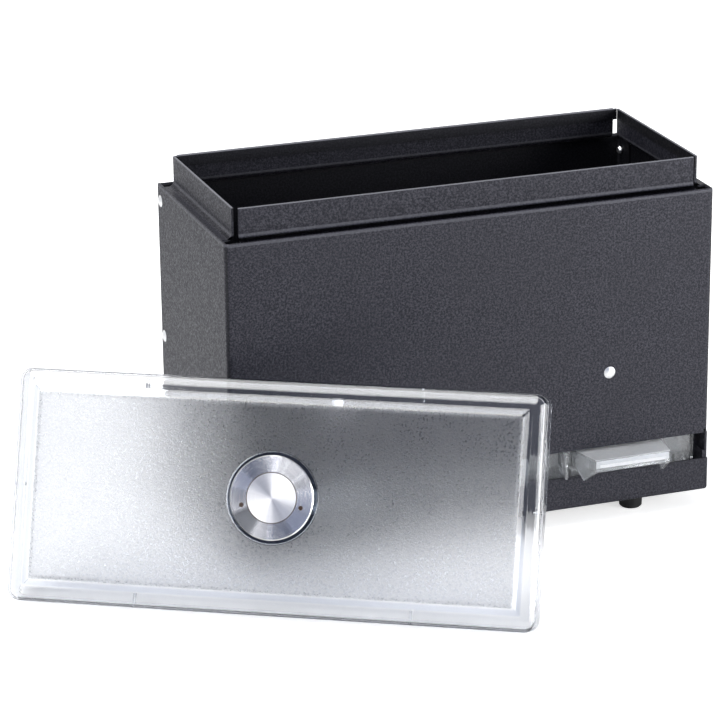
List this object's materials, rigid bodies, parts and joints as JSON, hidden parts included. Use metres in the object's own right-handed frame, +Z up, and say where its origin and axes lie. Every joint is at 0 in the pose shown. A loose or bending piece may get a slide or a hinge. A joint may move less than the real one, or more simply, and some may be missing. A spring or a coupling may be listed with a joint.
{
  "type": "straw dispenser with lever",
  "caption": "Folded sheet-steel box on rubber feet that stores straws over a slanted floor and gives them out at a foot slot when a clear rocking lever is pressed, with a clear loose lid.",
  "frame": {"origin": "on the counter, under the middle of the box in plan; the lid that leans at the front left corner doesn't move it", "axes": "+X runs along the box to the right as seen from its front, -Y faces out of the slot side, +Z is up"},
  "size_m": [0.3859, 0.2497, 0.1946],
  "materials": {
    "dark_coat": "textured dark charcoal powder coat",
    "rubber": "matt black rubber",
    "nylon": "natural nylon",
    "zinc": "zinc-plated steel",
    "rivet_aluminium": "bright aluminium",
    "spring_steel": "spring wire",
    "clear_plastic": "clear moulded plastic",
    "clear_lid": "clear plastic with a fine-grained flat panel",
    "medallion_metal": "circular-brushed aluminium",
    "adhesive": "adhesive disc"
  },
  "bodies": {
    "housing": {"body_wrap": "dark_coat", "back_panel": "dark_coat", "base_pan": "dark_coat", "hopper_ramp": "dark_coat", "throat_baffle": "dark_coat", "left_bush": "nylon", "right_bush": "nylon", "lever_stops": "rubber", "front_left_foot": "rubber", "front_right_foot": "rubber", "back_left_foot": "rubber", "back_right_foot": "rubber", "foot_screws": "zinc", "foot_nuts": "zinc", "left_side_rivets": "rivet_aluminium", "left_pan_rivet": "rivet_aluminium", "right_side_rivets": "rivet_aluminium", "right_pan_rivet": "rivet_aluminium", "front_rivets": "rivet_aluminium", "ramp_back_rivets": "rivet_aluminium", "ramp_floor_rivets": "rivet_aluminium"},
    "lever": {"dispensing_lever": "clear_plastic", "pivot_rod": "zinc", "return_spring": "spring_steel"},
    "lid": {"lid_shell": "clear_lid", "lid_medallion": "medallion_metal", "medallion_tape": "adhesive"}
  },
  "joints": [
    {"name": "lever_press", "type": "hinge", "parent": "housing", "child": "lever", "pos_m": [0, -0.049, 0.0204], "axis": [1, 0, 0], "range_deg": [0, 15], "stiffness_Nm_per_rad": 0.15, "springref_deg": -11.46},
    {"name": "lid_lift", "type": "slide", "parent": "housing", "child": "lid", "axis": [0, 0, 1], "range_m": [0, 0.2]}
  ]
}
